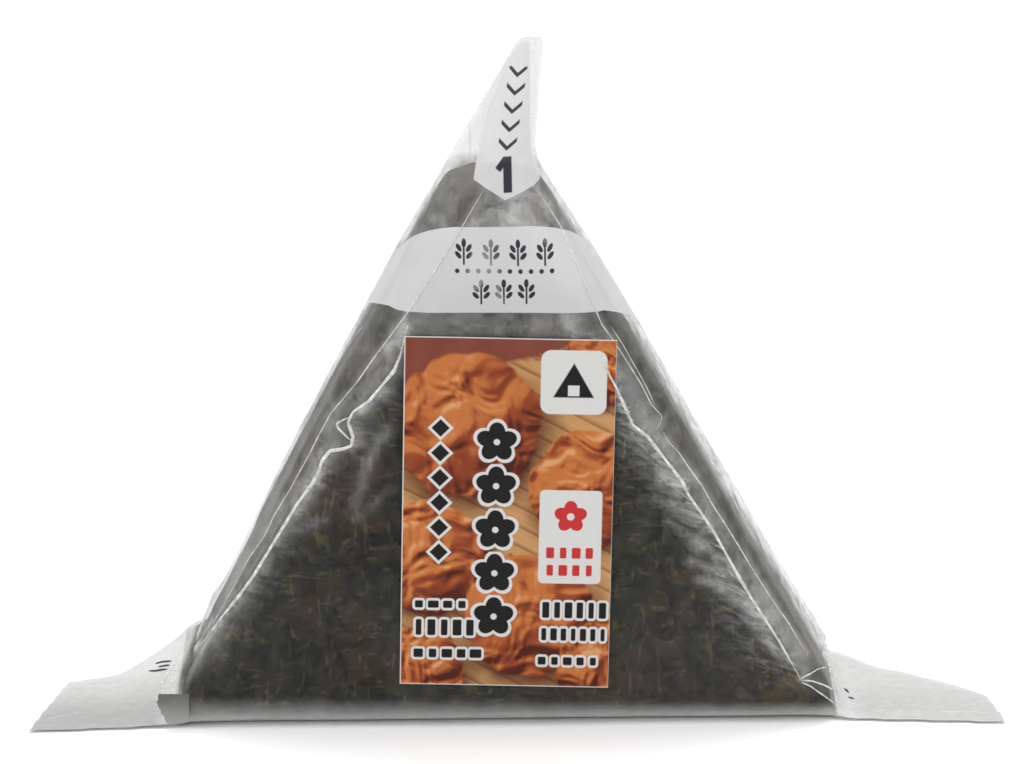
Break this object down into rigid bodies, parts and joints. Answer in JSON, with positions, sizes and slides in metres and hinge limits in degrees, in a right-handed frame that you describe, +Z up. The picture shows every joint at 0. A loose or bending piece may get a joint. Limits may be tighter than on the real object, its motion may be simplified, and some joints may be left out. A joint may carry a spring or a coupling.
{
  "type": "wrapped onigiri rice ball",
  "caption": "Triangular rice ball in a nori sheet, sealed in clear film with a gathered peak, a flat tail on each side of the base and a paper label.",
  "frame": {"origin": "middle of the flat underside that the rice ball stands on", "axes": "+Z up through the peak, +X to the right along the base, -Y out of the front face that carries the label"},
  "size_m": [0.13, 0.0314, 0.0905],
  "materials": {
    "clear_film": "clear wrinkled film over dark nori",
    "nori": "dry seaweed sheet, blackish green with brown flecks",
    "white_print": "translucent white ink on film",
    "dark_print": "dark ink on film",
    "label_paper": "satin printed paper label"
  },
  "bodies": {
    "root": {"film_pack": "clear_film", "label": "label_paper"}
  },
  "joints": []
}
